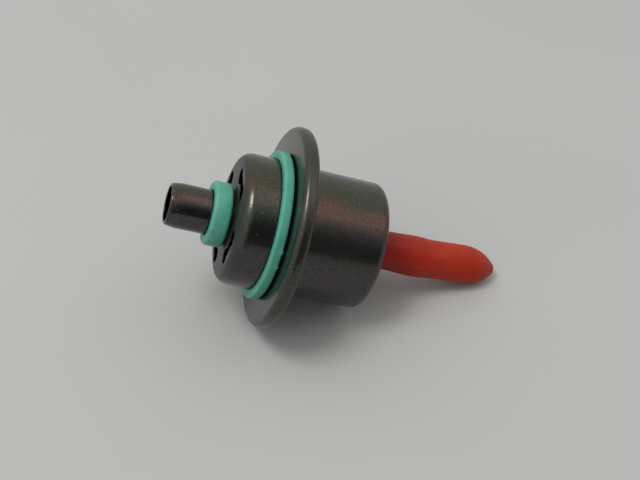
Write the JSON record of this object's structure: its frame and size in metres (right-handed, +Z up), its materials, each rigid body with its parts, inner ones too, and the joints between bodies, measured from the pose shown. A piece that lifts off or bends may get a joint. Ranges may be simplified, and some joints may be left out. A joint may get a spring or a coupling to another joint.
{
  "type": "fuel pressure regulator",
  "caption": "Cartridge fuel pressure regulator: slotted steel cup with a crimped flange, return tube, two green seal rings, spring housing and a red cap on its vacuum port.",
  "frame": {"origin": "on the axis, at the front face of the flange, which closes the rail's pocket", "axes": "+X along the axis from the return tube towards the vacuum port, +Z up"},
  "size_m": [0.061, 0.0356, 0.0356],
  "materials": {
    "fuel_housing": "passivated, dull olive grey",
    "return_tube": "passivated, smooth",
    "small_seal_ring": "satin green",
    "large_seal_ring": "satin green",
    "spring_housing": "passivated, dull olive grey",
    "diaphragm": "fabric-backed black rubber",
    "valve_seat": "turned",
    "valve_ball": "ground",
    "valve_carrier": "turned",
    "ball_retainer": "pressed",
    "lower_plate": "pressed",
    "spring_plate": "pressed",
    "spring_seat": "pressed",
    "main_spring": "drawn wire",
    "vacuum_nipple": "turned",
    "vacuum_cap": "soft red vinyl"
  },
  "bodies": {
    "housing": {"fuel_housing": "fuel_housing", "return_tube": "return_tube", "small_seal_ring": "small_seal_ring", "large_seal_ring": "large_seal_ring", "spring_housing": "spring_housing", "diaphragm": "diaphragm", "valve_seat": "valve_seat", "spring_seat": "spring_seat", "main_spring": "main_spring", "vacuum_nipple": "vacuum_nipple", "vacuum_cap": "vacuum_cap"},
    "valve": {"valve_carrier": "valve_carrier", "valve_ball": "valve_ball", "ball_retainer": "ball_retainer", "lower_plate": "lower_plate", "spring_plate": "spring_plate"}
  },
  "joints": [
    {"name": "valve_lift", "type": "slide", "parent": "housing", "child": "valve", "axis": [1, 0, 0], "range_m": [0, 0.0006], "stiffness_N_per_m": 7000, "deforming": ["main_spring", "diaphragm"]}
  ]
}
